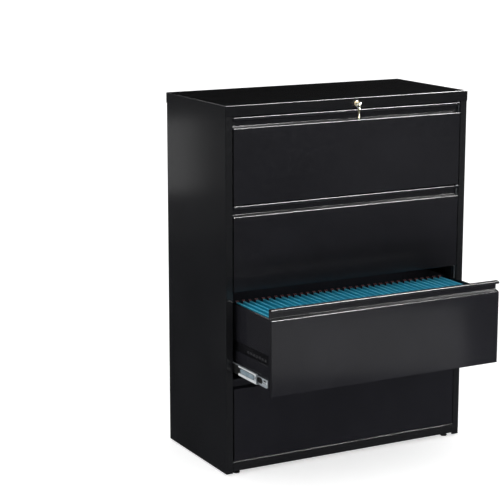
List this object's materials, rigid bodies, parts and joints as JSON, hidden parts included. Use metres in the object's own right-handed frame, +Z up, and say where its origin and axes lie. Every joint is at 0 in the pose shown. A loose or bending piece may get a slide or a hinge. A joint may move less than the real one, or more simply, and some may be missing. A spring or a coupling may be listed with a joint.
{
  "type": "lateral filing cabinet",
  "caption": "Wide steel lateral file with full-width recessed pulls; one drawer is open on ball-bearing slides and shows hanging folders, and a key lock in the top edge locks every drawer.",
  "frame": {"origin": "on the floor, at the centre of the footprint with the one drawer open", "axes": "+Z up, -Y out of the drawer fronts, +X to the right seen from the front"},
  "size_m": [1, 0.74, 1.321],
  "materials": {
    "case_paint": "black satin powder coat",
    "drawer_paint": "black satin powder coat",
    "slide_zinc": "bright zinc plate",
    "raw_steel": "mill finish",
    "black_nylon": "moulded nylon",
    "teal_card": "dyed matte card",
    "lock_brass": "polished, nickel-tinted"
  },
  "bodies": {
    "case": {"top_cap": "case_paint", "side_left": "case_paint", "side_right": "case_paint", "back_panel": "case_paint", "base_pan": "case_paint", "toe_rail": "case_paint", "counterweight": "raw_steel", "upright_front_left": "case_paint", "upright_front_right": "case_paint", "upright_rear_left": "case_paint", "upright_rear_right": "case_paint", "slide_outer_1_left": "slide_zinc", "slide_outer_1_right": "slide_zinc", "slide_outer_2_left": "slide_zinc", "slide_outer_2_right": "slide_zinc", "slide_outer_3_left": "slide_zinc", "slide_outer_3_right": "slide_zinc", "slide_outer_4_left": "slide_zinc", "slide_outer_4_right": "slide_zinc", "lock_barrel": "lock_brass"},
    "drawer_1": {"drawer_front_1": "drawer_paint", "drawer_tray_1": "drawer_paint", "hang_rail_1": "drawer_paint", "slide_inner_1_left": "slide_zinc", "slide_inner_1_right": "slide_zinc"},
    "slide_mid_1": {"slide_mid_1_left": "slide_zinc", "slide_mid_1_right": "slide_zinc"},
    "drawer_2": {"drawer_front_2": "drawer_paint", "drawer_tray_2": "drawer_paint", "hang_rail_2": "drawer_paint", "slide_inner_2_left": "slide_zinc", "slide_inner_2_right": "slide_zinc"},
    "slide_mid_2": {"slide_mid_2_left": "slide_zinc", "slide_mid_2_right": "slide_zinc"},
    "drawer_3": {"drawer_front_3": "drawer_paint", "drawer_tray_3": "drawer_paint", "hang_rail_3": "drawer_paint", "slide_inner_3_left": "slide_zinc", "slide_inner_3_right": "slide_zinc", "hanging_folders": "teal_card"},
    "slide_mid_3": {"slide_mid_3_left": "slide_zinc", "slide_mid_3_right": "slide_zinc"},
    "drawer_4": {"drawer_front_4": "drawer_paint", "drawer_tray_4": "drawer_paint", "hang_rail_4": "drawer_paint", "slide_inner_4_left": "slide_zinc", "slide_inner_4_right": "slide_zinc"},
    "slide_mid_4": {"slide_mid_4_left": "slide_zinc", "slide_mid_4_right": "slide_zinc"},
    "foot_front_left": {"leveller_front_left": "black_nylon"},
    "foot_front_right": {"leveller_front_right": "black_nylon"},
    "foot_rear_left": {"leveller_rear_left": "black_nylon"},
    "foot_rear_right": {"leveller_rear_right": "black_nylon"},
    "lock_core": {"lock_plug": "lock_brass", "lock_cam": "slide_zinc"},
    "lock_link": {"lock_link": "slide_zinc"},
    "lock_bar": {"lock_bar": "slide_zinc"},
    "key_ring": {"key_ring": "slide_zinc"},
    "key": {"key": "lock_brass"}
  },
  "joints": [
    {"name": "drawer_1_slide", "type": "slide", "parent": "case", "child": "drawer_1", "axis": [0, -1, 0], "range_m": [0, 0.4]},
    {"name": "slide_mid_1_run", "type": "slide", "parent": "case", "child": "slide_mid_1", "axis": [0, -1, 0], "range_m": [0, 0.272]},
    {"name": "drawer_2_slide", "type": "slide", "parent": "case", "child": "drawer_2", "axis": [0, -1, 0], "range_m": [0, 0.4]},
    {"name": "slide_mid_2_run", "type": "slide", "parent": "case", "child": "slide_mid_2", "axis": [0, -1, 0], "range_m": [0, 0.272]},
    {"name": "drawer_3_slide", "type": "slide", "parent": "case", "child": "drawer_3", "axis": [0, -1, 0], "range_m": [-0.27, 0.13]},
    {"name": "slide_mid_3_run", "type": "slide", "parent": "case", "child": "slide_mid_3", "axis": [0, -1, 0], "range_m": [-0.1836, 0.0884]},
    {"name": "drawer_4_slide", "type": "slide", "parent": "case", "child": "drawer_4", "axis": [0, -1, 0], "range_m": [0, 0.4]},
    {"name": "slide_mid_4_run", "type": "slide", "parent": "case", "child": "slide_mid_4", "axis": [0, -1, 0], "range_m": [0, 0.272]},
    {"name": "foot_front_left_screw", "type": "slide", "parent": "case", "child": "foot_front_left", "axis": [0, 0, -1], "range_m": [0, 0.015]},
    {"name": "foot_front_right_screw", "type": "slide", "parent": "case", "child": "foot_front_right", "axis": [0, 0, -1], "range_m": [0, 0.015]},
    {"name": "foot_rear_left_screw", "type": "slide", "parent": "case", "child": "foot_rear_left", "axis": [0, 0, -1], "range_m": [0, 0.015]},
    {"name": "foot_rear_right_screw", "type": "slide", "parent": "case", "child": "foot_rear_right", "axis": [0, 0, -1], "range_m": [0, 0.015]},
    {"name": "lock_bar_lift", "type": "slide", "parent": "case", "child": "lock_bar", "axis": [0, 0, 1], "range_m": [0, 0.008]},
    {"name": "lock_link_push", "type": "slide", "parent": "case", "child": "lock_link", "axis": [1, 0, 0], "range_m": [0, 0.008]},
    {"name": "lock_turn", "type": "hinge", "parent": "case", "child": "lock_core", "pos_m": [0.021, -0.1, 1.3003], "axis": [0, 1, 0], "range_deg": [0, 90]},
    {"name": "key_pull", "type": "slide", "parent": "case", "child": "key_ring", "axis": [0, -1, 0], "range_m": [0, 0.036]},
    {"name": "key_turn", "type": "hinge", "parent": "key_ring", "child": "key", "pos_m": [0.021, -0.1, 1.3003], "axis": [0, 1, 0], "range_deg": [0, 90]}
  ],
  "couplings": [
    {"joint": "slide_mid_1_run", "follows": "drawer_1_slide", "ratio": 0.68},
    {"joint": "slide_mid_2_run", "follows": "drawer_2_slide", "ratio": 0.68},
    {"joint": "slide_mid_3_run", "follows": "drawer_3_slide", "ratio": 0.68},
    {"joint": "slide_mid_4_run", "follows": "drawer_4_slide", "ratio": 0.68},
    {"joint": "lock_link_push", "follows": "lock_bar_lift", "ratio": 1},
    {"joint": "lock_turn", "follows": "lock_bar_lift", "rad_per_m": 196.34},
    {"joint": "key_turn", "follows": "lock_bar_lift", "rad_per_m": 196.34}
  ]
}
